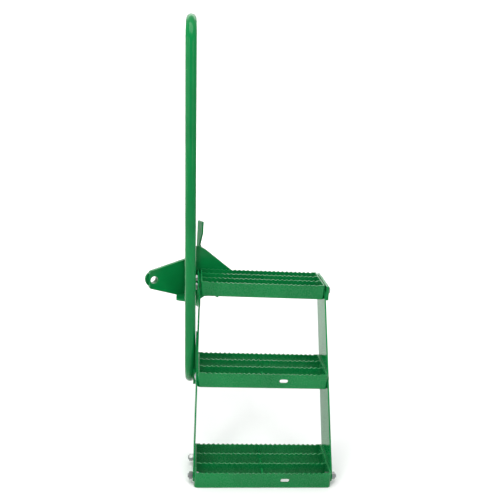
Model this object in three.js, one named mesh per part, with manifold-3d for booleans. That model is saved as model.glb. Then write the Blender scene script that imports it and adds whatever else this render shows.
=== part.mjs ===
// Tailgate step: three serrated treads bolted between two slanting flat bars, with a loop handrail
// on the left and a welded mounting bracket behind the upper tread. Millimetres, +Z up.
// Everything is laid out from the upper tread's front left top corner: +X right, +Y to the rear.
// The whole step is then moved so that its origin is the centre of the pivot bore's rear mouth.
import * as THREE from 'three';
import { mergeVertices } from 'three/addons/utils/BufferGeometryUtils.js';
import Module from 'manifold-3d';

const wasm = await Module();
wasm.setup();

// Gap kept between two pieces that touch.
const GAP = 0.3;

// Treads.
const TREAD_NAMES = ['upper', 'middle', 'lower'];
const TREAD_WIDTH = 406.4;
const TREAD_PITCH = 50.8;
const TREAD_PLATE = 4.76;
const TREAD_HEIGHT = 47.6;
const TREAD_DEPTH = 3 * TREAD_PITCH + TREAD_PLATE;
const TREAD_RISE = 244.5;
const TREAD_RUN = 152.4;
const FRAME_BEND = 9;
const BAR_HEIGHT = 38.1;
const ROD_RADIUS = 4;
const ROD_DROP = 20.5;
const SLOT = { x: 267.4, drop: 24, length: 26.5, width: 12 };

// Serration along the top edges: round scoops between short flat lands.
const SCOOP_PITCH = 15.2;
const SCOOP_LENGTH = 12;
const SCOOP_DEPTH = 2.8;
const SCOOP_STEPS = 3;
const SCOOP_MARGIN = 14;

// Stringers, the flat bars at the two sides.
const STRINGER_THICK = 4.76;
const STRINGER_WIDTH = 114.3;
const STRINGER_TOP = -12;
const STRINGER_FOOT = -2 * TREAD_RISE - 34;
const STRINGER_CHAMFER = 14;

// Bolts and nuts, half inch. The middle tread's bolts have low round heads.
const BOLT_RADIUS = 6.35;
const BOLT_HOLE = 6.9;
const BOLT_DROP = 23.8;
const BOLT_PLACES = { front: 26, rear: 117.5 };
const BOLT_TIP = 3.5;
const HEX_RADIUS = 19.05 / Math.sqrt(3);
const HEAD_HEIGHT = 7.9;
const ROUND_HEAD = { radius: 12.7, height: 4.8 };
const NUT_HEIGHT = 11.1;

// Bracket arms beside the upper tread, and the hanger plate behind it.
const ARM_THICK = { left: 4.76, right: 9.5 };
const ARM_TOP = -3.5;
const ARM_HEIGHT = 47;
const HANGER_FRONT = 160;
const HANGER_THICK = 7.94;
const HANGER_LEFT = -50;

// Pivot ear: it turns forward from the hanger plate's left edge.
const EAR_TURN = THREE.MathUtils.degToRad(25);
const EAR_THICK = 12.7;
const EAR_LENGTH = 132;
const EAR_ROOT = { top: 31, bottom: -106.5 };
const EAR_TIP = { top: -3, bottom: -63 };
const PIVOT = { along: 116, z: -34, bore: 12.7, outer: 25.4, length: 11 };

// Web under the ear and stop finger behind the hanger plate.
const WEB_TOP = -97.5;
const WEB_THICK = 6.35;
const FINGER_THICK = 6.35;
const FINGER_WIDTH = 38;
const FINGER_CORNER = { x: -1.1, y: HANGER_FRONT + HANGER_THICK + 0.9 };
const FINGER_TOP = 161.5;
const FINGER_FOOT = -148;

// Handrail: a closed loop of tube that leans outwards at the top.
const RAIL_RADIUS = 16.7;
const RAIL_WALL = 2.77;
const RAIL_BEND = 85;
const RAIL_BEND_STEPS = 7;
const RAIL_LEAN = THREE.MathUtils.degToRad(1.93);
const RAIL_AT = { x: -32.3, z: -24 };
const RAIL_NEAR = -75;
const RAIL_FAR = HANGER_FRONT - GAP - RAIL_RADIUS;
const RAIL_BEND_TOP = 708;
const RAIL_BEND_FOOT = -240;
const RAIL_DRAIN = 3;
const LUG = { thick: 4.4, front: -95, rear: -55, top: -148, bottom: -292 };
const LUG_TAB = { thick: 8, front: -112, rear: -55, top: -262, bottom: -302 };

// Widths of what the side bolts clamp.
const STRINGER_OUT = GAP + STRINGER_THICK;
const ARM_OUT = {
  left: STRINGER_OUT + GAP + ARM_THICK.left,
  right: STRINGER_OUT + GAP + ARM_THICK.right,
};

const GREEN = { color: 0x17763a, roughness: 0.32, metalness: 0.0 };
const ZINC = { color: 0xc4c7c6, roughness: 0.38, metalness: 0.9 };

const step = new THREE.Group();

// --- solids -------------------------------------------------------------------------------------

function toSolid(geometry) {
  const bare = geometry.clone();
  bare.deleteAttribute('normal');
  bare.deleteAttribute('uv');
  const merged = mergeVertices(bare, 1e-4);
  const vertProperties = new Float32Array(merged.attributes.position.array);
  const triVerts = new Uint32Array(merged.index.array);
  return new wasm.Manifold(new wasm.Mesh({ numProp: 3, vertProperties, triVerts }));
}

function toGeometry(solid) {
  const mesh = solid.getMesh();
  const geometry = new THREE.BufferGeometry();
  geometry.setAttribute('position', new THREE.BufferAttribute(new Float32Array(mesh.vertProperties), 3));
  geometry.setIndex(new THREE.BufferAttribute(new Uint32Array(mesh.triVerts), 1));
  return geometry;
}

function cut(geometry, ...tools) {
  return toGeometry(tools.reduce((solid, tool) => solid.subtract(toSolid(tool)), toSolid(geometry)));
}

function join(first, ...others) {
  return toGeometry(others.reduce((solid, other) => solid.add(toSolid(other)), toSolid(first)));
}

function outline(points) {
  return new THREE.Shape(points.map(([a, b]) => new THREE.Vector2(a, b)));
}

function extrude(shape, depth, curveSegments = 6) {
  return new THREE.ExtrudeGeometry(shape, { depth, bevelEnabled: false, curveSegments });
}

// An outline drawn in X and Z, given thickness from one Y to another.
function plateFacingFront(shape, yFront, yRear, curveSegments) {
  const geometry = extrude(shape, yRear - yFront, curveSegments);
  geometry.rotateX(Math.PI / 2);
  geometry.translate(0, yRear, 0);
  return geometry;
}

// An outline drawn in Y and Z, given thickness from one X to another.
function plateFacingSide(shape, xLeft, xRight, curveSegments) {
  const geometry = extrude(shape, xRight - xLeft, curveSegments);
  const axes = new THREE.Matrix4().makeBasis(
    new THREE.Vector3(0, 1, 0), new THREE.Vector3(0, 0, 1), new THREE.Vector3(1, 0, 0));
  geometry.applyMatrix4(axes);
  geometry.translate(xLeft, 0, 0);
  return geometry;
}

// An outline drawn along a level direction and Z, with its thickness to the left of that direction.
function plateAlong(shape, thick, direction, corner) {
  const geometry = extrude(shape, thick, 20);
  const up = new THREE.Vector3(0, 0, 1);
  const axes = new THREE.Matrix4().makeBasis(direction, up, direction.clone().cross(up));
  geometry.applyMatrix4(axes);
  geometry.translate(corner.x, corner.y, 0);
  return geometry;
}

function rodAlongX(radius, xLeft, xRight, y, z, sides = 12) {
  const geometry = new THREE.CylinderGeometry(radius, radius, xRight - xLeft, sides);
  geometry.rotateZ(Math.PI / 2);
  geometry.translate((xLeft + xRight) / 2, y, z);
  return geometry;
}

function rodAlongY(radius, yFront, yRear, x, z, sides = 12) {
  const geometry = new THREE.CylinderGeometry(radius, radius, yRear - yFront, sides);
  geometry.translate(x, (yFront + yRear) / 2, z);
  return geometry;
}

function add(name, geometry, finish = GREEN) {
  const mesh = new THREE.Mesh(geometry, new THREE.MeshStandardMaterial(finish));
  mesh.name = name;
  step.add(mesh);
  return mesh;
}

// --- treads -------------------------------------------------------------------------------------

// The scoops between two X positions, as a list of [x, z] runs from left to right.
function scoopRuns(xLeft, xRight) {
  const count = Math.floor((xRight - xLeft) / SCOOP_PITCH);
  const start = (xLeft + xRight - count * SCOOP_PITCH + SCOOP_PITCH - SCOOP_LENGTH) / 2;
  return Array.from({ length: count }, (_, i) =>
    Array.from({ length: SCOOP_STEPS + 1 }, (__, k) => [
      start + i * SCOOP_PITCH + (SCOOP_LENGTH * k) / SCOOP_STEPS,
      -SCOOP_DEPTH * Math.sin((Math.PI * k) / SCOOP_STEPS),
    ]));
}

function serratedBar(xLeft, xRight, yFront) {
  const scoops = scoopRuns(xLeft + SCOOP_MARGIN / 2, xRight - SCOOP_MARGIN / 2).flat();
  const shape = outline([[xRight, -BAR_HEIGHT], [xRight, 0], ...scoops.reverse(), [xLeft, 0],
    [xLeft, -BAR_HEIGHT]]);
  const bar = plateFacingFront(shape, yFront, yFront + TREAD_PLATE);
  const hole = rodAlongY(ROD_RADIUS + 0.35, yFront - 1, yFront + TREAD_PLATE + 1, TREAD_WIDTH / 2, -ROD_DROP);
  return cut(bar, hole);
}

// A comb of scoops that bites the front plate's top edge.
function scoopComb() {
  const above = 1;
  const teeth = scoopRuns(SCOOP_MARGIN, TREAD_WIDTH - SCOOP_MARGIN).flatMap((run) =>
    [[run[0][0], above], ...run, [run[run.length - 1][0], above]]);
  const shape = outline([...teeth, [teeth[teeth.length - 1][0], 2 * above], [teeth[0][0], 2 * above]]);
  return plateFacingFront(shape, -1, TREAD_PLATE + 1);
}

function slotTool() {
  const half = (SLOT.length - SLOT.width) / 2;
  const shape = new THREE.Shape();
  shape.absarc(SLOT.x + half, -SLOT.drop, SLOT.width / 2, -Math.PI / 2, Math.PI / 2, false);
  shape.absarc(SLOT.x - half, -SLOT.drop, SLOT.width / 2, Math.PI / 2, 1.5 * Math.PI, false);
  return plateFacingFront(shape, -1, TREAD_PLATE + 1, 8);
}

// The front plate and both end plates are one strip, bent back at the two front corners.
function treadFrame(withSlot) {
  const inner = FRAME_BEND - TREAD_PLATE;
  const shape = new THREE.Shape();
  shape.moveTo(0, TREAD_DEPTH);
  shape.lineTo(0, FRAME_BEND);
  shape.absarc(FRAME_BEND, FRAME_BEND, FRAME_BEND, Math.PI, 1.5 * Math.PI, false);
  shape.absarc(TREAD_WIDTH - FRAME_BEND, FRAME_BEND, FRAME_BEND, 1.5 * Math.PI, 2 * Math.PI, false);
  shape.lineTo(TREAD_WIDTH, TREAD_DEPTH);
  shape.lineTo(TREAD_WIDTH - TREAD_PLATE, TREAD_DEPTH);
  shape.lineTo(TREAD_WIDTH - TREAD_PLATE, FRAME_BEND);
  shape.absarc(TREAD_WIDTH - FRAME_BEND, FRAME_BEND, inner, 0, -Math.PI / 2, true);
  shape.absarc(FRAME_BEND, FRAME_BEND, inner, 1.5 * Math.PI, Math.PI, true);
  shape.lineTo(TREAD_PLATE, TREAD_DEPTH);
  const strip = extrude(shape, TREAD_HEIGHT, 5);
  strip.translate(0, 0, -TREAD_HEIGHT);
  const holes = Object.values(BOLT_PLACES).map((y) => rodAlongX(BOLT_HOLE, -1, TREAD_WIDTH + 1, y, -BOLT_DROP));
  return cut(strip, scoopComb(), ...holes, ...(withSlot ? [slotTool()] : []));
}

function addTread(index) {
  const prefix = `${TREAD_NAMES[index]}_tread`;
  const inside = [TREAD_PLATE + GAP, TREAD_WIDTH - TREAD_PLATE - GAP];
  const rodFront = TREAD_PLATE + GAP;
  const pieces = [
    add(`${prefix}_frame`, treadFrame(index > 0)),
    add(`${prefix}_bar_front`, serratedBar(...inside, TREAD_PITCH)),
    add(`${prefix}_bar_middle`, serratedBar(...inside, 2 * TREAD_PITCH)),
    add(`${prefix}_bar_rear`, serratedBar(...inside, 3 * TREAD_PITCH)),
    add(`${prefix}_cross_rod`, rodAlongY(ROD_RADIUS, rodFront, TREAD_DEPTH, TREAD_WIDTH / 2, -ROD_DROP)),
  ];
  for (const piece of pieces) {
    piece.position.set(0, -index * TREAD_RUN, -index * TREAD_RISE);
  }
}

// --- stringers ----------------------------------------------------------------------------------

// The stringer's front or rear edge at a height; its middle line runs between the tread bolts.
const SLANT = TREAD_RUN / TREAD_RISE;
const STRINGER_MIDDLE = (BOLT_PLACES.front + BOLT_PLACES.rear) / 2;
const STRINGER_HALF = (STRINGER_WIDTH * Math.hypot(1, SLANT)) / 2;

function stringerEdge(z, side) {
  return STRINGER_MIDDLE + SLANT * (z + BOLT_DROP) + side * STRINGER_HALF;
}

function stringer(xLeft) {
  const shape = outline([
    [stringerEdge(STRINGER_FOOT, -1) + STRINGER_CHAMFER, STRINGER_FOOT],
    [stringerEdge(STRINGER_FOOT, 1), STRINGER_FOOT],
    [stringerEdge(STRINGER_TOP, 1), STRINGER_TOP],
    [stringerEdge(STRINGER_TOP, -1) + STRINGER_CHAMFER, STRINGER_TOP],
    [stringerEdge(STRINGER_TOP - STRINGER_CHAMFER, -1), STRINGER_TOP - STRINGER_CHAMFER],
    [stringerEdge(STRINGER_FOOT + STRINGER_CHAMFER, -1), STRINGER_FOOT + STRINGER_CHAMFER],
  ]);
  const holes = TREAD_NAMES.flatMap((_, index) => Object.values(BOLT_PLACES).map((y) =>
    rodAlongX(BOLT_HOLE, xLeft - 1, xLeft + STRINGER_THICK + 1, y - index * TREAD_RUN,
      -BOLT_DROP - index * TREAD_RISE)));
  return cut(plateFacingSide(shape, xLeft, xLeft + STRINGER_THICK), ...holes);
}

// --- bolts and nuts -----------------------------------------------------------------------------

function hexHead() {
  return rodAlongX(HEX_RADIUS, -HEAD_HEIGHT, 0, 0, 0, 6);
}

// A shallow dome: a cap of the sphere that has this base radius and height.
function roundHead() {
  const { radius, height } = ROUND_HEAD;
  const sphere = (radius * radius + height * height) / (2 * height);
  const rim = Math.asin(radius / sphere);
  const arc = [1, 0.75, 0.5, 0.25, 0].map((t) =>
    new THREE.Vector2(sphere * Math.sin(rim * t), sphere * Math.cos(rim * t) - sphere + height));
  const dome = new THREE.LatheGeometry([new THREE.Vector2(0, 0), ...arc], 16);
  dome.rotateZ(Math.PI / 2);
  return dome;
}

// A bolt along +X: the head ends at x = 0 and the shank runs on through the grip and the nut.
function bolt(head, grip) {
  return join(head, rodAlongX(BOLT_RADIUS, -1, grip + 2 * GAP + NUT_HEIGHT + BOLT_TIP, 0, 0));
}

function nut() {
  const block = rodAlongX(HEX_RADIUS, 0, NUT_HEIGHT, 0, 0, 6);
  return cut(block, rodAlongX(BOLT_RADIUS + 0.4, -1, NUT_HEIGHT + 1, 0, 0));
}

// One fastener through an end plate and what lies outside it. outward is -1 left and 1 right.
function addFastener(name, outward, y, z, outside, { headOutside, head }) {
  const innerFace = outward < 0 ? TREAD_PLATE : TREAD_WIDTH - TREAD_PLATE;
  const outerFace = outward < 0 ? -outside : TREAD_WIDTH + outside;
  const grip = TREAD_PLATE + outside;
  const headFace = headOutside ? outerFace : innerFace;
  const nutFace = headOutside ? innerFace : outerFace;
  const towardsNut = headOutside ? -outward : outward;
  const turn = towardsNut > 0 ? 0 : Math.PI;
  const boltMesh = add(`${name}_bolt`, bolt(head(), grip), ZINC);
  boltMesh.position.set(headFace - towardsNut * GAP, y, z);
  boltMesh.rotation.z = turn;
  const nutMesh = add(`${name}_nut`, nut(), ZINC);
  nutMesh.position.set(nutFace + towardsNut * GAP, y, z);
  nutMesh.rotation.z = turn;
}

// What each tread's bolts are like, from the upper tread down.
const FASTENING = [
  { head: hexHead, headOutside: true },
  { head: roundHead, headOutside: true },
  { head: hexHead, headOutside: false },
];

function addTreadFasteners(index) {
  for (const [side, outward] of [['left', -1], ['right', 1]]) {
    const outside = index === 0 ? ARM_OUT[side] : STRINGER_OUT;
    for (const [place, y] of Object.entries(BOLT_PLACES)) {
      addFastener(`${TREAD_NAMES[index]}_${side}_${place}`, outward, y - index * TREAD_RUN,
        -BOLT_DROP - index * TREAD_RISE, outside, FASTENING[index]);
    }
  }
}

// --- mounting bracket ---------------------------------------------------------------------------

function arm(xLeft, thick) {
  const foot = ARM_TOP - ARM_HEIGHT;
  const rear = HANGER_FRONT - GAP;
  const shape = outline([[0, foot], [rear, foot], [rear, ARM_TOP], [0, ARM_TOP]]);
  const holes = Object.values(BOLT_PLACES).map((y) =>
    rodAlongX(BOLT_HOLE, xLeft - 1, xLeft + thick + 1, y, -BOLT_DROP));
  return cut(plateFacingSide(shape, xLeft, xLeft + thick), ...holes);
}

// A plate behind the upper tread: a gusset peak at the left, a low bar across to the right arm.
function hangerPlate() {
  const right = TREAD_WIDTH + ARM_OUT.right;
  const shape = outline([[HANGER_LEFT, EAR_ROOT.bottom], [-20, -116], [0, -116], [16, -103], [50, -98],
    [62.4, -106.5], [72, -98], [136, -52], [right, -52], [right, -12], [118, -12], [15.6, 66], [-3, 76.5],
    [-20, 76.5], [HANGER_LEFT, EAR_ROOT.top]]);
  return plateFacingFront(shape, HANGER_FRONT, HANGER_FRONT + HANGER_THICK);
}

// Level directions: along the ear from root to tip, and square to it towards the rear.
const earAlong = new THREE.Vector3(-Math.cos(EAR_TURN), -Math.sin(EAR_TURN), 0);
const earRearward = new THREE.Vector3(-Math.sin(EAR_TURN), Math.cos(EAR_TURN), 0);
const earRoot = new THREE.Vector3(HANGER_LEFT, HANGER_FRONT, 0);

function earPlate() {
  const past = 6;
  const slope = (EAR_TIP.top - EAR_ROOT.top) / EAR_LENGTH;
  const shape = outline([[-past, EAR_ROOT.bottom], [0, EAR_ROOT.bottom], [EAR_LENGTH - 3, EAR_TIP.bottom - 1],
    [EAR_LENGTH, EAR_TIP.bottom + 3], [EAR_LENGTH, EAR_TIP.top - 3], [EAR_LENGTH - 3, EAR_TIP.top + 1],
    [0, EAR_ROOT.top], [-past, EAR_ROOT.top - past * slope]]);
  const bore = new THREE.Path();
  bore.absarc(PIVOT.along, PIVOT.z, PIVOT.bore, 0, 2 * Math.PI, true);
  shape.holes.push(bore);
  const plate = plateAlong(shape, EAR_THICK, earAlong, earRoot);
  const hangerSide = new THREE.BoxGeometry(40, 80, 400);
  hangerSide.translate(HANGER_LEFT - GAP + 20, HANGER_FRONT, 0);
  return cut(plate, hangerSide);
}

function pivotBoss() {
  const shape = new THREE.Shape();
  shape.absarc(PIVOT.along, PIVOT.z, PIVOT.outer, 0, 2 * Math.PI, false);
  const bore = new THREE.Path();
  bore.absarc(PIVOT.along, PIVOT.z, PIVOT.bore, 0, 2 * Math.PI, true);
  shape.holes.push(bore);
  const corner = earRoot.clone().addScaledVector(earRearward, EAR_THICK + GAP);
  return plateAlong(shape, PIVOT.length, earAlong, corner);
}

// A level web in the corner between the ear and the hanger plate, notched round the handrail.
function lowerWeb() {
  const rear = HANGER_FRONT - GAP;
  const earStart = earRoot.clone().addScaledVector(earRearward, -GAP).addScaledVector(earAlong, 1);
  const earEnd = earStart.clone().addScaledVector(earAlong, 33);
  const shape = outline([[-8, rear], [earStart.x, rear - 1], [earEnd.x, earEnd.y], [earEnd.x + 1, 116],
    [earEnd.x + 5, 110], [-8, 84]]);
  const web = extrude(shape, WEB_THICK);
  web.translate(0, 0, WEB_TOP - WEB_THICK);
  return cut(web, lean(halfLoop(1, RAIL_RADIUS + GAP, 18)));
}

// An upright finger behind the hanger plate, undercut where it passes the plate's top edge.
function stopFinger() {
  const shape = outline([[0, FINGER_FOOT], [FINGER_WIDTH, FINGER_FOOT], [FINGER_WIDTH, FINGER_TOP - 6],
    [FINGER_WIDTH - 6, FINGER_TOP], [0, FINGER_TOP], [0, 122], [18, 78], [0, 66]]);
  return plateAlong(shape, FINGER_THICK, earRearward, FINGER_CORNER);
}

// --- handrail -----------------------------------------------------------------------------------

// A path that takes one step along each straight and several round each bend.
class SteppedPath extends THREE.Curve {
  constructor(pieces) {
    super();
    this.pieces = pieces;
    this.steps = pieces.reduce((sum, piece) => sum + piece.steps, 0);
  }

  getPoint(t) {
    let station = t * this.steps;
    for (const { curve, steps } of this.pieces) {
      if (station <= steps) {
        return curve(station / steps);
      }
      station -= steps;
    }
    return this.pieces[this.pieces.length - 1].curve(1);
  }

  getUtoTmapping(u) {
    return u;
  }
}

function straight(from, to) {
  return { steps: 1, curve: (t) => from.clone().lerp(to, t) };
}

function bend(centreY, centreZ, from, to) {
  const curve = (t) => {
    const angle = from + (to - from) * t;
    return new THREE.Vector3(0, centreY + RAIL_BEND * Math.cos(angle), centreZ + RAIL_BEND * Math.sin(angle));
  };
  return { steps: RAIL_BEND_STEPS, curve };
}

// Half of the loop, from the middle of its top to the middle of its foot. side is -1 near, 1 far.
function halfLoop(side, radius, sides) {
  const legY = side < 0 ? RAIL_NEAR : RAIL_FAR;
  const centreY = legY - side * RAIL_BEND;
  const pastMiddle = (RAIL_NEAR + RAIL_FAR) / 2 - side * 1;
  const top = RAIL_BEND_TOP - RAIL_AT.z;
  const foot = RAIL_BEND_FOOT - RAIL_AT.z;
  const point = (y, z) => new THREE.Vector3(0, y, z);
  const legAngle = side < 0 ? Math.PI : 0;
  const footAngle = side < 0 ? 1.5 * Math.PI : -Math.PI / 2;
  const path = new SteppedPath([
    straight(point(pastMiddle, top + RAIL_BEND), point(centreY, top + RAIL_BEND)),
    bend(centreY, top, Math.PI / 2, legAngle),
    straight(point(legY, top), point(legY, foot)),
    bend(centreY, foot, legAngle, footAngle),
    straight(point(centreY, foot - RAIL_BEND), point(pastMiddle, foot - RAIL_BEND)),
  ]);
  const section = new THREE.Shape();
  section.absarc(0, 0, radius, 0, 2 * Math.PI, false);
  const settings = { steps: path.steps, curveSegments: sides / 2, extrudePath: path };
  return new THREE.ExtrudeGeometry(section, settings);
}

// Tips geometry built about the rail's own upright line into its leaning place.
function lean(geometry) {
  geometry.rotateY(-RAIL_LEAN);
  geometry.translate(RAIL_AT.x, 0, RAIL_AT.z);
  return geometry;
}

function handrail() {
  const loop = (radius, sides) => join(halfLoop(-1, radius, sides), halfLoop(1, radius, sides));
  const middle = (RAIL_NEAR + RAIL_FAR) / 2;
  const footZ = RAIL_BEND_FOOT - RAIL_AT.z - RAIL_BEND;
  const drain = new THREE.CylinderGeometry(RAIL_DRAIN, RAIL_DRAIN, RAIL_RADIUS + 4, 8);
  drain.rotateX(Math.PI / 2);
  drain.translate(0, middle, footZ - (RAIL_RADIUS + 4) / 2);
  return lean(cut(loop(RAIL_RADIUS, 18), loop(RAIL_RADIUS - RAIL_WALL, 12), drain));
}

// A flat lug and a thicker tab at its foot, on the left stringer's outer face. The rail's near leg
// and lower bend are welded to them, so both are cut to the tube's shape.
function railLug() {
  const right = -STRINGER_OUT - GAP;
  const block = ({ thick, front, rear, top, bottom }) => {
    const box = new THREE.BoxGeometry(thick, rear - front, top - bottom);
    box.translate(right - thick / 2, (front + rear) / 2, (top + bottom) / 2);
    return box;
  };
  return cut(join(block(LUG), block(LUG_TAB)), lean(halfLoop(-1, RAIL_RADIUS + GAP, 18)));
}

// --- assembly -----------------------------------------------------------------------------------

TREAD_NAMES.forEach((_, index) => {
  addTread(index);
  addTreadFasteners(index);
});
add('left_stringer', stringer(-STRINGER_OUT));
add('right_stringer', stringer(TREAD_WIDTH + GAP));
add('left_arm', arm(-ARM_OUT.left, ARM_THICK.left));
add('right_arm', arm(TREAD_WIDTH + STRINGER_OUT + GAP, ARM_THICK.right));
add('hanger_plate', hangerPlate());
add('ear_plate', earPlate());
add('pivot_boss', pivotBoss());
add('lower_web', lowerWeb());
add('stop_finger', stopFinger());
add('handrail', handrail());
add('rail_lug', railLug());

const boreDepth = EAR_THICK + GAP + PIVOT.length;
const rearMouth = earRoot.clone();
rearMouth.addScaledVector(earAlong, PIVOT.along);
rearMouth.addScaledVector(earRearward, boreDepth);
step.position.set(-rearMouth.x, -rearMouth.y, -PIVOT.z);

const part = new THREE.Group();
part.add(step);
export default part;
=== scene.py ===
"""Studio scene of a powder coated tailgate step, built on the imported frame.

Unless a heading says otherwise, lengths named in capitals are in millimetres and are measured from the
upper tread's front left top corner, with X to the right, Y to the rear and Z up. point() turns them into
the frame's metres.
"""

import math
import random

import bmesh
import bpy
from mathutils import Matrix, Vector


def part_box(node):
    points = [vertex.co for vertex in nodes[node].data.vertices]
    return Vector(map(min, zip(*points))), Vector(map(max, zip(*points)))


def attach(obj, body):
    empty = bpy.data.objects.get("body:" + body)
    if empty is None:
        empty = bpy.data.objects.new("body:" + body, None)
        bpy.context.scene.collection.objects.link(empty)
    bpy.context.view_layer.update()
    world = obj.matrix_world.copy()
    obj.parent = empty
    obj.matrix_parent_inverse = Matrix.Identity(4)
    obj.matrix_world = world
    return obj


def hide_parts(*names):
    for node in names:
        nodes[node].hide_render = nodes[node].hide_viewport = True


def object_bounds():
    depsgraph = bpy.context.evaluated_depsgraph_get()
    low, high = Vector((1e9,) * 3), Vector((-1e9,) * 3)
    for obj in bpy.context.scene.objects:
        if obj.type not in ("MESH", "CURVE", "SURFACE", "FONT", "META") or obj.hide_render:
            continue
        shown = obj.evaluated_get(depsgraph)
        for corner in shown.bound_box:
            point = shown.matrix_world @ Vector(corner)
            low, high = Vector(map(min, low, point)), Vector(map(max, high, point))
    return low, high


MM = 0.001

# Treads.
TREADS = ("upper", "middle", "lower")
TREAD_WIDTH = 406.4
TREAD_PITCH = 50.8
TREAD_PLATE = 4.76
TREAD_HEIGHT = 47.6
TREAD_DEPTH = 3 * TREAD_PITCH + TREAD_PLATE
TREAD_RISE = 244.5
TREAD_RUN = 152.4
FRAME_BEND = 9
BAR_HEIGHT = 38.1
BAR_GAP = 0.3
ROD_RADIUS = 4
ROD_DROP = 20.5
SLOT_X = 267.4
SLOT_DROP = 24
SLOT_LENGTH = 26.5
SLOT_WIDTH = 12
SCOOP_PITCH = 15.2
SCOOP_LENGTH = 12
SCOOP_DEPTH = 2.8
SCOOP_MARGIN = 14
SCOOP_STEPS = 10

# Fasteners, half inch.
BOLT_RADIUS = 6.35
BOLT_DROP = 23.8
BOLT_PLACES = {"front": 26, "rear": 117.5}
THREAD_PITCH = 1.95
THREAD_DEPTH = 0.75
THREAD_LENGTH = 15
HEX_FLAT = 19.05
HEX_CHAMFER = math.radians(30)
HEAD_HEIGHT = 7.9
NUT_HEIGHT = 11.1
BOLT_TIP = 3.5
ROUND_RADIUS = 12.7
ROUND_HEIGHT = 4.8

# Bracket and side bars.
STRINGER_THICK = 4.76
ARM_THICK = {"left": 4.76, "right": 9.5}
ARM_TOP = -3.5
ARM_HEIGHT = 47
HANGER_FRONT = 160
HANGER_THICK = 7.94
HANGER_LEFT = -50
EAR_TURN = math.radians(25)
EAR_THICK = 12.7
PIVOT_ALONG = 116
PIVOT_Z = -34
PIVOT_OUTER = 25.4
WEB_TOP = -97.5
FINGER_X = -1.1
FINGER_THICK = 6.35
GAP = 0.3
STRINGER_OUT = GAP + STRINGER_THICK
ARM_OUT = {side: STRINGER_OUT + GAP + thick for side, thick in ARM_THICK.items()}

# Handrail.
RAIL_RADIUS = 16.7
RAIL_BEND = 85
RAIL_LEAN = math.radians(1.93)
RAIL_X = -32.3
RAIL_Z = -24
RAIL_NEAR = -75
RAIL_FAR = HANGER_FRONT - GAP - RAIL_RADIUS
RAIL_TOP = 708
RAIL_FOOT = -240
RAIL_SIDES = 56
RAIL_BEND_STEPS = 28

# CAD nodes that keep their own mesh.
KEPT_NODES = (
    "left_stringer", "right_stringer", "left_arm", "right_arm", "hanger_plate",
    "ear_plate", "pivot_boss", "lower_web", "stop_finger", "rail_lug",
)

# Looks.
EDGE_ROUND = {"plate": 0.9, "thin": 0.45}
BEAD_STEP = 0.9
BEAD_RIPPLE = 3.4
GREEN = (0.003, 0.205, 0.050, 1)
GREEN_DEEP = (0.002, 0.160, 0.038, 1)
GREEN_PALE = (0.022, 0.330, 0.105, 1)
DUST = (0.20, 0.30, 0.22, 1)
ZINC = (0.36, 0.38, 0.40, 1)
ZINC_WARM = (0.38, 0.37, 0.32, 1)
ZINC_DULL = (0.19, 0.20, 0.21, 1)
PAPER = (0.90, 0.90, 0.90, 1)
PAPER_LIGHT = (0.93, 0.93, 0.93, 1)
WHITE = (1, 1, 1, 1)

# Studio, in metres.
SWEEP_REACH = 16
SWEEP_START = 4
SWEEP_BEND = 2.5
SWEEP_TOP = 9

# Camera.
LENS = 42.8
CAMERA_AT = (-34.0, -1832.4, 569.7)
CAMERA_RIGHT = (0.99462, -0.08434, 0.06010)
CAMERA_UP = (-0.03830, 0.24000, 0.97000)
CAMERA_SHIFT = (0.0016, -0.0076)

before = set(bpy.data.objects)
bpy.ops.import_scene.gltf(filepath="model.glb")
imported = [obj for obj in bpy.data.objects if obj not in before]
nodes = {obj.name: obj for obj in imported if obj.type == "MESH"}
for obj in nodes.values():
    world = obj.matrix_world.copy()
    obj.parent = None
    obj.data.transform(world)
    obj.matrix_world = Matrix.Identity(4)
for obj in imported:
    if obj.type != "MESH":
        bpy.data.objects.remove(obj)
cad_low, cad_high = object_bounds()
tread_low, tread_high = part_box("upper_tread_frame")
ORIGIN = Vector((tread_low.x, tread_low.y, tread_high.z))


def point(x, y, z):
    return ORIGIN + Vector((x, y, z)) * MM


# --- node helpers -------------------------------------------------------------------------------


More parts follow.
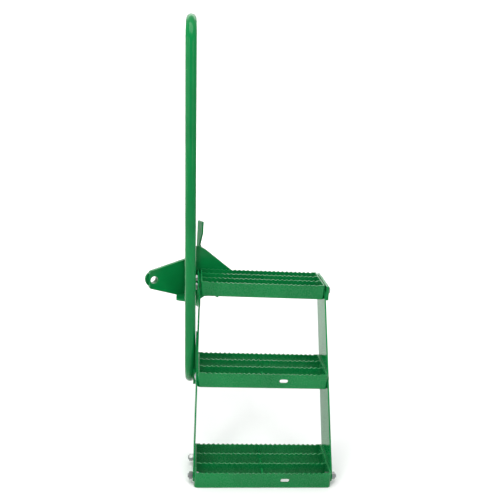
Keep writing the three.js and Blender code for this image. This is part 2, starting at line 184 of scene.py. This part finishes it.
class Shader:
    """A material's node tree, with short calls for adding and joining nodes."""

    def __init__(self, name):
        self.material = bpy.data.materials.new(name)
        self.material.use_nodes = True
        self.tree = self.material.node_tree
        self.surface = self.tree.nodes["Principled BSDF"]
        self.place = self.add("ShaderNodeTexCoord").outputs["Object"]

    def add(self, kind, **settings):
        node = self.tree.nodes.new(kind)
        for key, value in settings.items():
            setattr(node, key, value)
        return node

    def join(self, source, target):
        self.tree.links.new(source, target)

    def noise(self, scale, detail=2, roughness=0.5, stretch=(1, 1, 1), seed=0):
        mapping = self.add("ShaderNodeMapping")
        mapping.inputs["Scale"].default_value = stretch
        mapping.inputs["Location"].default_value = (seed, seed * 0.7, -seed)
        self.join(self.place, mapping.inputs["Vector"])
        node = self.add("ShaderNodeTexNoise")
        node.inputs["Scale"].default_value = scale
        node.inputs["Detail"].default_value = detail
        node.inputs["Roughness"].default_value = roughness
        self.join(mapping.outputs["Vector"], node.inputs["Vector"])
        return node.outputs["Fac"]

    def spread(self, value, low, high, to_low=0.0, to_high=1.0):
        node = self.add("ShaderNodeMapRange", clamp=True)
        for key, number in (("From Min", low), ("From Max", high), ("To Min", to_low), ("To Max", to_high)):
            node.inputs[key].default_value = number
        self.join(value, node.inputs["Value"])
        return node.outputs["Result"]

    def math(self, operation, first, second):
        node = self.add("ShaderNodeMath", operation=operation)
        for socket, value in zip(node.inputs, (first, second)):
            if isinstance(value, (int, float)):
                socket.default_value = value
            else:
                self.join(value, socket)
        return node.outputs["Value"]

    def mix(self, factor, first, second):
        node = self.add("ShaderNodeMix", data_type="RGBA")
        self.join(factor, node.inputs["Factor"])
        for socket, value in ((node.inputs[6], first), (node.inputs[7], second)):
            if isinstance(value, tuple):
                socket.default_value = value
            else:
                self.join(value, socket)
        return node.outputs[2]

    def bump(self, height, distance, strength, under=None):
        node = self.add("ShaderNodeBump")
        node.inputs["Distance"].default_value = distance
        node.inputs["Strength"].default_value = strength
        self.join(height, node.inputs["Height"])
        if under is not None:
            self.join(under, node.inputs["Normal"])
        return node.outputs["Normal"]

    def facing_up(self):
        split = self.add("ShaderNodeSeparateXYZ")
        self.join(self.add("ShaderNodeNewGeometry").outputs["Normal"], split.inputs["Vector"])
        return split.outputs["Z"]

    def edges(self, radius):
        """How far the surface normal turns away within this radius: high on outer edges and corners."""
        rounded = self.add("ShaderNodeBevel", samples=4)
        rounded.inputs["Radius"].default_value = radius
        dot = self.add("ShaderNodeVectorMath", operation="DOT_PRODUCT")
        self.join(rounded.outputs["Normal"], dot.inputs[0])
        self.join(self.add("ShaderNodeNewGeometry").outputs["Normal"], dot.inputs[1])
        return self.spread(dot.outputs["Value"], 0.995, 0.80)


def green_powder_coat(name, crest_wear_and_highlight):
    """Glossy baked powder coat: orange peel, slow tone drift, paler edges that are partly thinner film and
    partly a painted highlight, light dust.
    """
    shader = Shader(name)
    drift = shader.spread(shader.noise(7, 3), 0.32, 0.68)
    colour = shader.mix(drift, GREEN_DEEP, GREEN)
    flecks = shader.spread(shader.noise(900, 1, seed=3), 0.60, 0.74, 0, 0.04)
    colour = shader.mix(flecks, colour, GREEN_PALE)
    # Paler green on edges and, more strongly in the tread copy, on serration crests: partly thinner film
    # and wear, partly a painted highlight standing in for the pale edge sheen.
    uneven = shader.spread(shader.noise(45, 4, 0.6, seed=5), 0.3, 0.7)
    edge_wear_and_highlight = shader.math("MULTIPLY", shader.edges(1.6 * MM), uneven)
    colour = shader.mix(shader.math("MULTIPLY", edge_wear_and_highlight, 0.35 + 0.4 * crest_wear_and_highlight), colour, GREEN_PALE)
    upward = shader.spread(shader.facing_up(), 0.75, 1.0)
    settled = shader.spread(shader.noise(28, 5, 0.65, seed=9), 0.42, 0.75, 0, 0.07)
    dust = shader.math("MULTIPLY", upward, settled)
    colour = shader.mix(dust, colour, DUST)
    shader.join(colour, shader.surface.inputs["Base Color"])

    gloss = 0.12 + 0.10 * crest_wear_and_highlight
    streaks = shader.noise(16, 4, 0.6, stretch=(1, 1, 0.4), seed=2)
    smears = shader.spread(streaks, 0.3, 0.75, gloss, gloss + 0.09)
    fine = shader.spread(shader.noise(260, 2, seed=6), 0.3, 0.7, -0.03, 0.05)
    clean = shader.math("ADD", smears, fine)
    rough = shader.math("ADD", clean, shader.math("MULTIPLY", dust, 1.6))
    shader.join(rough, shader.surface.inputs["Roughness"])

    peel = shader.bump(shader.noise(330, 1, 0.4, seed=1), 0.05 * MM, 0.16)
    wave = shader.bump(shader.noise(22, 1, seed=4), 0.9 * MM, 0.12, under=peel)
    shader.join(wave, shader.surface.inputs["Normal"])
    shader.surface.inputs["IOR"].default_value = 1.40
    shader.surface.inputs["Specular IOR Level"].default_value = 0.27 + 0.18 * crest_wear_and_highlight
    shader.surface.inputs["Specular Tint"].default_value = (0.70, 1.0, 0.80, 1)
    shader.surface.inputs["Coat Weight"].default_value = 0.06
    shader.surface.inputs["Coat Roughness"].default_value = 0.06
    return shader.material


def zinc_plate():
    """Bright zinc with faint yellow passivation, dull patches and fine turning marks."""
    shader = Shader("zinc_plate")
    tint = shader.spread(shader.noise(120, 3, seed=1), 0.35, 0.7, 0, 0.65)
    colour = shader.mix(tint, ZINC, ZINC_WARM)
    patches = shader.spread(shader.noise(210, 5, 0.7, seed=4), 0.50, 0.72, 0, 0.55)
    colour = shader.mix(patches, colour, ZINC_DULL)
    shader.join(colour, shader.surface.inputs["Base Color"])
    rough = shader.spread(shader.noise(340, 4, 0.6, seed=8), 0.3, 0.7, 0.24, 0.44)
    shader.join(rough, shader.surface.inputs["Roughness"])
    grain = shader.bump(shader.noise(1500, 2, stretch=(1, 1, 0.15), seed=2), 0.04 * MM, 0.5)
    pits = shader.bump(shader.noise(420, 3, seed=7), 0.08 * MM, 0.35, under=grain)
    shader.join(pits, shader.surface.inputs["Normal"])
    shader.surface.inputs["Metallic"].default_value = 0.92
    return shader.material


def studio_paper():
    """Matt white paper with a trace of mottling."""
    shader = Shader("studio_paper")
    mottle = shader.spread(shader.noise(3, 4), 0.3, 0.7)
    shader.join(shader.mix(mottle, PAPER, PAPER_LIGHT), shader.surface.inputs["Base Color"])
    shader.surface.inputs["Roughness"].default_value = 0.85
    return shader.material


MATERIALS = {
    "plate": green_powder_coat("green_powder_coat", 0.0),
    # Tread copy: stronger pale edges and crests, partly wear and partly a painted highlight; also rougher
    # and more reflective coat.
    "tread": green_powder_coat("green_powder_coat_tread", 1.0),
    "zinc": zinc_plate(),
}


# --- mesh helpers -------------------------------------------------------------------------------


def make_mesh(name, vertices, faces):
    mesh = bpy.data.meshes.new(name)
    mesh.from_pydata([tuple(v) for v in vertices], [], faces)
    bm = bmesh.new()
    bm.from_mesh(mesh)
    bmesh.ops.recalc_face_normals(bm, faces=bm.faces)
    bm.to_mesh(mesh)
    bm.free()
    return mesh


def round_edges(obj, width, segments=2):
    bevel = obj.modifiers.new("rounded_edges", "BEVEL")
    bevel.width = width * MM
    bevel.segments = segments
    bevel.limit_method = "ANGLE"
    bevel.angle_limit = math.radians(28)
    bevel.harden_normals = True


def add_piece(name, mesh, look, replaced=()):
    """A new piece on the fixed frame. It stands for the CAD nodes in replaced."""
    obj = bpy.data.objects.new(name, mesh)
    bpy.context.scene.collection.objects.link(obj)
    if not mesh.materials:
        mesh.materials.append(MATERIALS[look])
    mesh.shade_smooth()
    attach(obj, "root")
    if replaced:
        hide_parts(*replaced)
    return obj


def loft(rings, closed=False, caps=True):
    """Vertices and faces that join equal rings of points in order. closed joins the last to the first."""
    sides = len(rings[0])
    vertices = [p for ring in rings for p in ring]
    pairs = [(i, i + 1) for i in range(len(rings) - 1)]
    if closed:
        pairs.append((len(rings) - 1, 0))
    faces = []
    for a, b in pairs:
        for k in range(sides):
            n = (k + 1) % sides
            faces.append((a * sides + k, a * sides + n, b * sides + n, b * sides + k))
    if caps and not closed:
        faces.append(tuple(range(sides)))
        faces.append(tuple(range((len(rings) - 1) * sides, len(rings) * sides)))
    return vertices, faces


def tube_rings(centres, radii, sides, axis, closed=False):
    """Round sections along a line of points. axis is square to the line, or nearly so."""
    rings = []
    count = len(centres)
    for i, centre in enumerate(centres):
        ahead = centres[(i + 1) % count] if closed or i < count - 1 else centre
        behind = centres[i - 1] if closed or i > 0 else centre
        tangent = (ahead - behind).normalized()
        side = (axis - tangent * axis.dot(tangent)).normalized()
        other = tangent.cross(side)
        rings.append([
            centre + (side * math.cos(t) + other * math.sin(t)) * radii[i]
            for t in (2 * math.pi * k / sides for k in range(sides))
        ])
    return rings


def merge(parts):
    """Several (vertices, faces) as one."""
    vertices, faces = [], []
    for part_vertices, part_faces in parts:
        start = len(vertices)
        vertices.extend(part_vertices)
        faces.extend(tuple(start + i for i in face) for face in part_faces)
    return vertices, faces


# --- treads -------------------------------------------------------------------------------------


def scoop_line(x_left, x_right):
    """Points along a serrated top edge, between two X positions, from left to right."""
    count = int((x_right - x_left) // SCOOP_PITCH)
    start = (x_left + x_right - count * SCOOP_PITCH + SCOOP_PITCH - SCOOP_LENGTH) / 2
    line = []
    for i in range(count):
        for k in range(SCOOP_STEPS + 1):
            share = k / SCOOP_STEPS
            x = start + i * SCOOP_PITCH + SCOOP_LENGTH * share
            line.append((x, -SCOOP_DEPTH * math.sin(math.pi * share)))
    return line


def tread_place(index):
    return point(0, -index * TREAD_RUN, -index * TREAD_RISE)


def serrated_bar(index, place, y_front):
    """One inner bar: a flat bar whose top edge is a row of round scoops."""
    left = TREAD_PLATE + BAR_GAP
    right = TREAD_WIDTH - left
    edge_wear_and_highlight = [(left, 0)] + scoop_line(left + SCOOP_MARGIN / 2, right - SCOOP_MARGIN / 2) + [(right, 0)]
    section = edge_wear_and_highlight + [(right, -BAR_HEIGHT), (left, -BAR_HEIGHT)]
    base = tread_place(index)
    rings = [[base + Vector((x, y, z)) * MM for x, z in section] for y in (y_front, y_front + TREAD_PLATE)]
    node = f"{TREADS[index]}_tread_bar_{place}"
    bar = add_piece(f"{node}_serrated", make_mesh(node + "_fine", *loft(rings)), "tread", [node])
    round_edges(bar, EDGE_ROUND["thin"])


def corner(centre_x, centre_y, start, end, steps=8):
    """Outer and inner points round a bend of the tread's strip, seen from above."""
    for i in range(steps + 1):
        t = start + (end - start) * i / steps
        outer, inner = (
            (centre_x + radius * math.cos(t), centre_y + radius * math.sin(t))
            for radius in (FRAME_BEND, FRAME_BEND - TREAD_PLATE)
        )
        yield outer, inner, 0


def tread_frame(index):
    """One strip bent round the front corners: the serrated front plate and both end plates."""
    stations = [((0, TREAD_DEPTH), (TREAD_PLATE, TREAD_DEPTH), 0)]
    stations += corner(FRAME_BEND, FRAME_BEND, math.pi, 1.5 * math.pi)
    for x, z in scoop_line(SCOOP_MARGIN, TREAD_WIDTH - SCOOP_MARGIN):
        stations.append(((x, 0), (x, TREAD_PLATE), z))
    stations += corner(TREAD_WIDTH - FRAME_BEND, FRAME_BEND, 1.5 * math.pi, 2 * math.pi)
    stations.append(((TREAD_WIDTH, TREAD_DEPTH), (TREAD_WIDTH - TREAD_PLATE, TREAD_DEPTH), 0))
    base = tread_place(index)
    rings = []
    for outer, inner, top in stations:
        section = ((*outer, top), (*outer, -TREAD_HEIGHT), (*inner, -TREAD_HEIGHT), (*inner, top))
        rings.append([base + Vector(p) * MM for p in section])
    node = f"{TREADS[index]}_tread_frame"
    strip = add_piece(f"{node}_serrated", make_mesh(node + "_fine", *loft(rings)), "tread", [node])
    if index > 0:
        cut_slot(strip, base)
    round_edges(strip, EDGE_ROUND["thin"])


def cut_slot(strip, base):
    """Cuts the round ended slot through the front plate."""
    half = (SLOT_LENGTH - SLOT_WIDTH) / 2
    turns = [math.pi * k / 16 for k in range(-8, 9)]
    right = [(SLOT_X + half + SLOT_WIDTH / 2 * math.cos(t), SLOT_WIDTH / 2 * math.sin(t)) for t in turns]
    left = [(SLOT_X - half - SLOT_WIDTH / 2 * math.cos(t), -SLOT_WIDTH / 2 * math.sin(t)) for t in turns]
    rings = [
        [base + Vector((x, y, z - SLOT_DROP)) * MM for x, z in right + left]
        for y in (-2, TREAD_PLATE + 2)
    ]
    cutter = bpy.data.objects.new("slot_cutter", make_mesh("slot_cutter", *loft(rings)))
    bpy.context.scene.collection.objects.link(cutter)
    boolean = strip.modifiers.new("slot", "BOOLEAN")
    boolean.operation = "DIFFERENCE"
    boolean.solver = "EXACT"
    boolean.object = cutter
    graph = bpy.context.evaluated_depsgraph_get()
    strip.data = bpy.data.meshes.new_from_object(strip.evaluated_get(graph))
    strip.modifiers.clear()
    bpy.data.objects.remove(cutter)


def cross_rod(index):
    """The round rod through the bars, with slightly domed ends."""
    base = tread_place(index)
    front = TREAD_PLATE + GAP
    stops = [(front, 0.88), (front + 0.5, 1), (TREAD_DEPTH - 0.6, 1), (TREAD_DEPTH, 0.86)]
    centres = [base + Vector((TREAD_WIDTH / 2, y, -ROD_DROP)) * MM for y, _ in stops]
    radii = [ROD_RADIUS * share * MM for _, share in stops]
    node = f"{TREADS[index]}_tread_cross_rod"
    rings = tube_rings(centres, radii, 32, Vector((1, 0, 0)))
    rod = add_piece(f"{node}_round", make_mesh(node + "_fine", *loft(rings)), "tread", [node])
    rod.data.set_sharp_from_angle(angle=math.radians(50))


# --- fasteners ----------------------------------------------------------------------------------


def hex_radius(turn):
    """Distance from a hexagon's centre to its side, in a direction."""
    within = (turn + math.pi / 6) % (math.pi / 3) - math.pi / 6
    return HEX_FLAT / 2 / math.cos(within)


def circle(radius, z, turns):
    return [Vector((radius * math.cos(t), radius * math.sin(t), z)) * MM for t in turns]


def hex_ring(z, sign, flat_circle, turns):
    """The hexagon's rim where a cone of the chamfer angle trims it."""
    ring = []
    for t in turns:
        r = hex_radius(t)
        drop = max(0, r - flat_circle) * math.tan(HEX_CHAMFER)
        ring.append(Vector((r * math.cos(t), r * math.sin(t), z - sign * drop)) * MM)
    return ring


def hexagon(low, high, chamfer_low, bore):
    """A hexagon block, trimmed at its high end and at its low end if asked. bore sinks its top."""
    turns = [math.pi * k / 30 for k in range(60)]
    flat_circle = HEX_FLAT / 2 * 0.95
    rings = []
    if chamfer_low:
        rings += [circle(flat_circle, low, turns), hex_ring(low, -1, flat_circle, turns)]
    else:
        rings += [hex_ring(low, 0, flat_circle, turns)]
    rings += [hex_ring(high, 1, flat_circle, turns), circle(flat_circle, high, turns)]
    if bore:
        rings += [circle(BOLT_RADIUS + 1.0, high, turns), circle(BOLT_RADIUS - 0.2, high - 1.2, turns)]
    return loft(rings)


def dome():
    """The low round head, with a small straight rim."""
    sphere = (ROUND_RADIUS ** 2 + ROUND_HEIGHT ** 2) / (2 * ROUND_HEIGHT)
    rim = math.asin((ROUND_RADIUS - 0.3) / sphere)
    turns = [math.pi * k / 24 for k in range(48)]
    rings = [circle(ROUND_RADIUS - 0.3, 0, turns), circle(ROUND_RADIUS, 0.5, turns)]
    for k in range(12, 0, -1):
        t = rim * k / 12
        rings.append(circle(sphere * math.sin(t), sphere * math.cos(t) - sphere + ROUND_HEIGHT, turns))
    return loft(rings)


def threaded_shank(low, high):
    """A shank whose last stretch carries a rolled thread: rows climb one pitch in each turn."""
    sides, per_pitch = 24, 4
    depths = (0, 0.5, 1, 0.5)
    rows = int(THREAD_LENGTH / THREAD_PITCH) * per_pitch
    step = THREAD_PITCH / per_pitch
    vertices, faces = [], []
    for row in range(rows + 1):
        for k in range(sides):
            t = 2 * math.pi * k / sides
            z = high - THREAD_LENGTH + row * step + THREAD_PITCH * k / sides
            end = max(0, z - (high - 1.2)) * 0.9
            radius = BOLT_RADIUS - max(THREAD_DEPTH * depths[row % per_pitch], min(end, 1.2))
            vertices.append(Vector((radius * math.cos(t), radius * math.sin(t), min(z, high))) * MM)
    for row in range(rows):
        for k in range(sides - 1):
            a = row * sides + k
            faces.append((a, a + 1, a + 1 + sides, a + sides))
    for row in range(rows - per_pitch):
        a = row * sides + sides - 1
        b = (row + per_pitch) * sides
        faces.append((a, b, b + sides, a + sides))
    turns = [2 * math.pi * k / sides for k in range(sides)]
    core = BOLT_RADIUS - THREAD_DEPTH
    plain = loft([circle(core, low, turns), circle(core, high - 0.1, turns)])
    return merge([(vertices, faces), plain])


def bolt_mesh(name, grip, round_head):
    """A bolt whose head ends at the origin and whose shank runs on along Z, past the nut."""
    shank = threaded_shank(0, grip + 2 * GAP + NUT_HEIGHT + BOLT_TIP)
    vertices, faces = dome() if round_head else hexagon(0, HEAD_HEIGHT, False, False)
    head = ([Vector((v.x, v.y, -v.z)) for v in vertices], faces)
    return make_mesh(name, *merge([head, shank]))


def set_fastener(mesh, node, x, y, z, towards, turn):
    """Puts a bolt or nut at a place, pointing along X to the left (-1) or right (1)."""
    piece = add_piece(f"{node}_detailed", mesh, "zinc", [node])
    axis = Matrix.Rotation(math.radians(90) * towards, 4, "Y")
    piece.matrix_world = Matrix.Translation(point(x, y, z)) @ axis @ Matrix.Rotation(turn, 4, "Z")
    mesh.set_sharp_from_angle(angle=math.radians(24))


def add_fasteners():
    rng = random.Random(7)
    nut = make_mesh("nut_fine", *hexagon(0, NUT_HEIGHT, True, True))
    for index, tread in enumerate(TREADS):
        head_outside = tread != "lower"
        for side, outward in (("left", -1), ("right", 1)):
            outside = ARM_OUT[side] if tread == "upper" else STRINGER_OUT
            bolt = bolt_mesh(f"{tread}_{side}_bolt_fine", TREAD_PLATE + outside, tread == "middle")
            inner = TREAD_PLATE if outward < 0 else TREAD_WIDTH - TREAD_PLATE
            outer = -outside if outward < 0 else TREAD_WIDTH + outside
            head_x, nut_x = (outer, inner) if head_outside else (inner, outer)
            towards = -outward if head_outside else outward
            for place, y in BOLT_PLACES.items():
                name = f"{tread}_{side}_{place}"
                at = (y - index * TREAD_RUN, -BOLT_DROP - index * TREAD_RISE)
                set_fastener(bolt, f"{name}_bolt", head_x - towards * GAP, *at, towards, rng.uniform(0, 1))
                set_fastener(nut, f"{name}_nut", nut_x + towards * GAP, *at, towards, rng.uniform(0, 1))


# --- handrail -----------------------------------------------------------------------------------


def rail_point(y, z):
    """A point of the rail's middle line: upright in its own plane, then leaning outwards."""
    height = z - RAIL_Z
    return point(RAIL_X - height * math.sin(RAIL_LEAN), y, RAIL_Z + height * math.cos(RAIL_LEAN))


def rail_line():
    corners = (
        (RAIL_NEAR + RAIL_BEND, RAIL_TOP, math.pi, math.pi / 2),
        (RAIL_FAR - RAIL_BEND, RAIL_TOP, math.pi / 2, 0),
        (RAIL_FAR - RAIL_BEND, RAIL_FOOT, 0, -math.pi / 2),
        (RAIL_NEAR + RAIL_BEND, RAIL_FOOT, -math.pi / 2, -math.pi),
    )
    line = []
    for y, z, start, end in corners:
        for k in range(RAIL_BEND_STEPS + 1):
            t = start + (end - start) * k / RAIL_BEND_STEPS
            line.append(rail_point(y + RAIL_BEND * math.cos(t), z + RAIL_BEND * math.sin(t)))
    return line


def add_handrail():
    line = rail_line()
    across = Vector((math.cos(RAIL_LEAN), 0, math.sin(RAIL_LEAN)))
    rings = tube_rings(line, [RAIL_RADIUS * MM] * len(line), RAIL_SIDES, across, closed=True)
    mesh = make_mesh("handrail_fine", *loft(rings, closed=True))
    add_piece("handrail_smooth", mesh, "plate", ["handrail"])


# --- welds --------------------------------------------------------------------------------------


def bead(line, radius, axis, rng, closed=False):
    """A weld bead along a line of points in metres: overlapping ripples, with narrow ends."""
    run = sum((b - a).length for a, b in zip(line, line[1:])) / MM
    count = max(8, int(run / BEAD_STEP))
    centres, radii = [], []
    for i in range(count + 1):
        along = i / count
        place = along * (len(line) - 1)
        low = min(int(place), len(line) - 2)
        centres.append(line[low].lerp(line[low + 1], place - low))
        ripple = 0.86 + 0.14 * abs(math.sin(math.pi * along * run / BEAD_RIPPLE))
        ends = 1 if closed else min(1, 0.35 + 2.6 * math.sqrt(max(0, min(along, 1 - along)) * run / 14))
        radii.append(radius * MM * ripple * min(ends, 1) * rng.uniform(0.96, 1.04))
    return loft(tube_rings(centres, radii, 10, axis))


def straight_bead(start, end, radius, axis, rng):
    return bead([point(*start), point(*end)], radius, Vector(axis), rng)


def upright_bead(x, y, bottom, top, radius, rng):
    return straight_bead((x, y, bottom), (x, y, top), radius, (1, 0, 0), rng)


def ring_bead(centre, first, second, ring_radius, radius, rng):
    """A bead round a circle that the directions first and second span. centre is in metres."""
    line = [
        centre + (first * math.cos(t) + second * math.sin(t)) * ring_radius * MM
        for t in (2 * math.pi * k / 48 for k in range(49))
    ]
    return bead(line, radius, first.cross(second), rng, closed=True)


def tread_welds(index, rng):
    """Beads at both faces of each inner bar's ends, and round the rod at each bar."""
    beads = []
    base_y, base_z = -index * TREAD_RUN, -index * TREAD_RISE
    for number in (1, 2, 3):
        for y in (number * TREAD_PITCH, number * TREAD_PITCH + TREAD_PLATE):
            for x in (TREAD_PLATE, TREAD_WIDTH - TREAD_PLATE):
                top = (x, base_y + y, base_z - 4)
                foot = (x, base_y + y, base_z - BAR_HEIGHT + 1)
                beads.append(straight_bead(top, foot, 2.0, (1, 0, 0), rng))
            if y < TREAD_DEPTH:
                centre = point(TREAD_WIDTH / 2, base_y + y, base_z - ROD_DROP)
                beads.append(ring_bead(centre, Vector((1, 0, 0)), Vector((0, 0, 1)), ROD_RADIUS, 1.3, rng))
    return beads


def rail_x(z):
    return RAIL_X - (z - RAIL_Z) * math.tan(RAIL_LEAN)


def bracket_welds(rng):
    """Beads of the hanger plate, ear, boss, web, arms, rail and stop finger."""
    along = Vector((-math.cos(EAR_TURN), -math.sin(EAR_TURN), 0))
    rearward = Vector((-math.sin(EAR_TURN), math.cos(EAR_TURN), 0))
    boss = point(HANGER_LEFT, HANGER_FRONT, PIVOT_Z) + (along * PIVOT_ALONG + rearward * EAR_THICK) * MM
    beads = [
        upright_bead(HANGER_LEFT, HANGER_FRONT, -104, 30, 3.0, rng),
        ring_bead(boss, along, Vector((0, 0, 1)), PIVOT_OUTER, 2.2, rng),
    ]
    ear_corner = (HANGER_LEFT, HANGER_FRONT, WEB_TOP)
    web_left = (HANGER_LEFT - 30, HANGER_FRONT - 14, WEB_TOP)
    web_right = (-10, HANGER_FRONT, WEB_TOP)
    beads.append(straight_bead((HANGER_LEFT + 2, HANGER_FRONT, WEB_TOP), web_right, 2.6, (0, 1, 0), rng))
    beads.append(straight_bead(ear_corner, web_left, 2.6, (0, 0, 1), rng))
    left_arm = -ARM_OUT["left"]
    for x in (left_arm, left_arm + ARM_THICK["left"], TREAD_WIDTH + STRINGER_OUT + GAP):
        beads.append(upright_bead(x, HANGER_FRONT, ARM_TOP - ARM_HEIGHT + 2, ARM_TOP - 10, 2.8, rng))
    finger_right = FINGER_X + FINGER_THICK * math.cos(EAR_TURN)
    for sign, rail_top, finger_x in ((-1, 28, FINGER_X), (1, 60, finger_right)):
        foot = (rail_x(-95) + sign * 8.5, HANGER_FRONT - 1, -95)
        top = (rail_x(60) + sign * 8.5, HANGER_FRONT - 1, rail_top)
        beads.append(straight_bead(foot, top, 3.2, (1, 0, 0), rng))
        beads.append(upright_bead(finger_x, HANGER_FRONT + HANGER_THICK, -98, 62, 2.8, rng))
    return beads


def add_welds():
    rng = random.Random(11)
    for index, tread in enumerate(TREADS):
        mesh = make_mesh(f"{tread}_welds", *merge(tread_welds(index, rng)))
        add_piece(f"{tread}_tread_welds", mesh, "tread")
    add_piece("bracket_welds", make_mesh("bracket_welds", *merge(bracket_welds(rng))), "plate")


# --- kept CAD nodes -----------------------------------------------------------------------------


def finish_cad_node(name):
    """Gives a CAD node its paint, joins its split corners and rounds its edges."""
    node = nodes[name]
    node.data.materials.clear()
    node.data.materials.append(MATERIALS["plate"])
    weld = node.modifiers.new("joined_corners", "WELD")
    weld.merge_threshold = 0.02 * MM
    round_edges(node, EDGE_ROUND["plate"], 3)


# --- studio -------------------------------------------------------------------------------------


def add_sweep():
    """A floor that curves up into the backdrop."""
    profile = [(-SWEEP_REACH, 0)]
    for k in range(17):
        t = math.pi / 2 * k / 16
        profile.append((SWEEP_START + SWEEP_BEND * math.sin(t), SWEEP_BEND - SWEEP_BEND * math.cos(t)))
    profile.append((SWEEP_START + SWEEP_BEND, SWEEP_TOP))
    rings = [[Vector((x, y, cad_low.z + z)) for x in (-SWEEP_REACH, SWEEP_REACH)] for y, z in profile]
    vertices = [p for ring in rings for p in ring]
    faces = [(2 * i, 2 * i + 1, 2 * i + 3, 2 * i + 2) for i in range(len(rings) - 1)]
    mesh = bpy.data.meshes.new("studio_sweep")
    mesh.from_pydata([tuple(v) for v in vertices], [], faces)
    mesh.materials.append(studio_paper())
    mesh.shade_smooth()
    sweep = bpy.data.objects.new("studio_sweep", mesh)
    bpy.context.scene.collection.objects.link(sweep)


def add_softbox(name, at, aim, size, power):
    light = bpy.data.lights.new(name, "AREA")
    light.shape = "RECTANGLE"
    light.size, light.size_y = size
    light.energy = power
    softbox = bpy.data.objects.new(name, light)
    softbox.location = at
    softbox.rotation_mode = "QUATERNION"
    softbox.rotation_quaternion = (Vector(aim) - Vector(at)).to_track_quat("-Z", "Y")
    bpy.context.scene.collection.objects.link(softbox)


def light_studio():
    """Soft light from all round, darker behind the camera, so that faces turned to it keep their colour."""
    world = bpy.data.worlds.new("studio_world")
    world.use_nodes = True
    tree = world.node_tree
    place = tree.nodes.new("ShaderNodeTexCoord")
    split = tree.nodes.new("ShaderNodeSeparateXYZ")
    tree.links.new(place.outputs["Generated"], split.inputs["Vector"])
    brightness = tree.nodes.new("ShaderNodeMapRange")
    for key, number in (("From Min", -0.8), ("From Max", 0.8), ("To Min", 0.24), ("To Max", 0.88)):
        brightness.inputs[key].default_value = number
    tree.links.new(split.outputs["Y"], brightness.inputs["Value"])
    tree.links.new(brightness.outputs["Result"], tree.nodes["Background"].inputs["Strength"])
    tree.nodes["Background"].inputs["Color"].default_value = WHITE
    bpy.context.scene.world = world
    middle = (cad_low + cad_high) / 2
    add_softbox("overhead", (0.0, -1.2, 3.4), middle, (3.2, 2.0), 90)
    add_softbox("left", (-3.2, -0.4, 0.7), middle, (0.8, 2.6), 34)
    add_softbox("front_left", (-2.2, -3.0, 1.3), middle, (0.9, 2.6), 34)
    add_softbox("front_right", (2.6, -3.2, 1.3), middle, (0.7, 2.6), 34)
    add_softbox("floor_wash", (0.0, 2.6, 3.4), (0, 1.6, cad_low.z), (4.5, 1.2), 42)
    add_softbox("backdrop_wash", (0.0, 3.0, 3.6), (0, 6.4, 1.2), (9.0, 1.0), 350)
    bpy.context.scene.view_settings.view_transform = "Standard"


def add_camera():
    data = bpy.data.cameras.new("photo_camera")
    data.lens = LENS
    data.shift_x, data.shift_y = CAMERA_SHIFT
    data.clip_end = 50
    camera = bpy.data.objects.new("photo_camera", data)
    right = Vector(CAMERA_RIGHT).normalized()
    up = Vector(CAMERA_UP)
    up = (up - right * up.dot(right)).normalized()
    back = right.cross(up)
    turn = Matrix((right, up, back)).transposed().to_4x4()
    camera.matrix_world = Matrix.Translation(point(*CAMERA_AT)) @ turn
    bpy.context.scene.collection.objects.link(camera)
    bpy.context.scene.camera = camera


# --- assembly -----------------------------------------------------------------------------------

for number in range(len(TREADS)):
    tread_frame(number)
    for bar_number, bar_place in enumerate(("front", "middle", "rear")):
        serrated_bar(number, bar_place, (bar_number + 1) * TREAD_PITCH)
    cross_rod(number)
add_fasteners()
add_handrail()
add_welds()
for kept in KEPT_NODES:
    finish_cad_node(kept)
add_sweep()
light_studio()
add_camera()
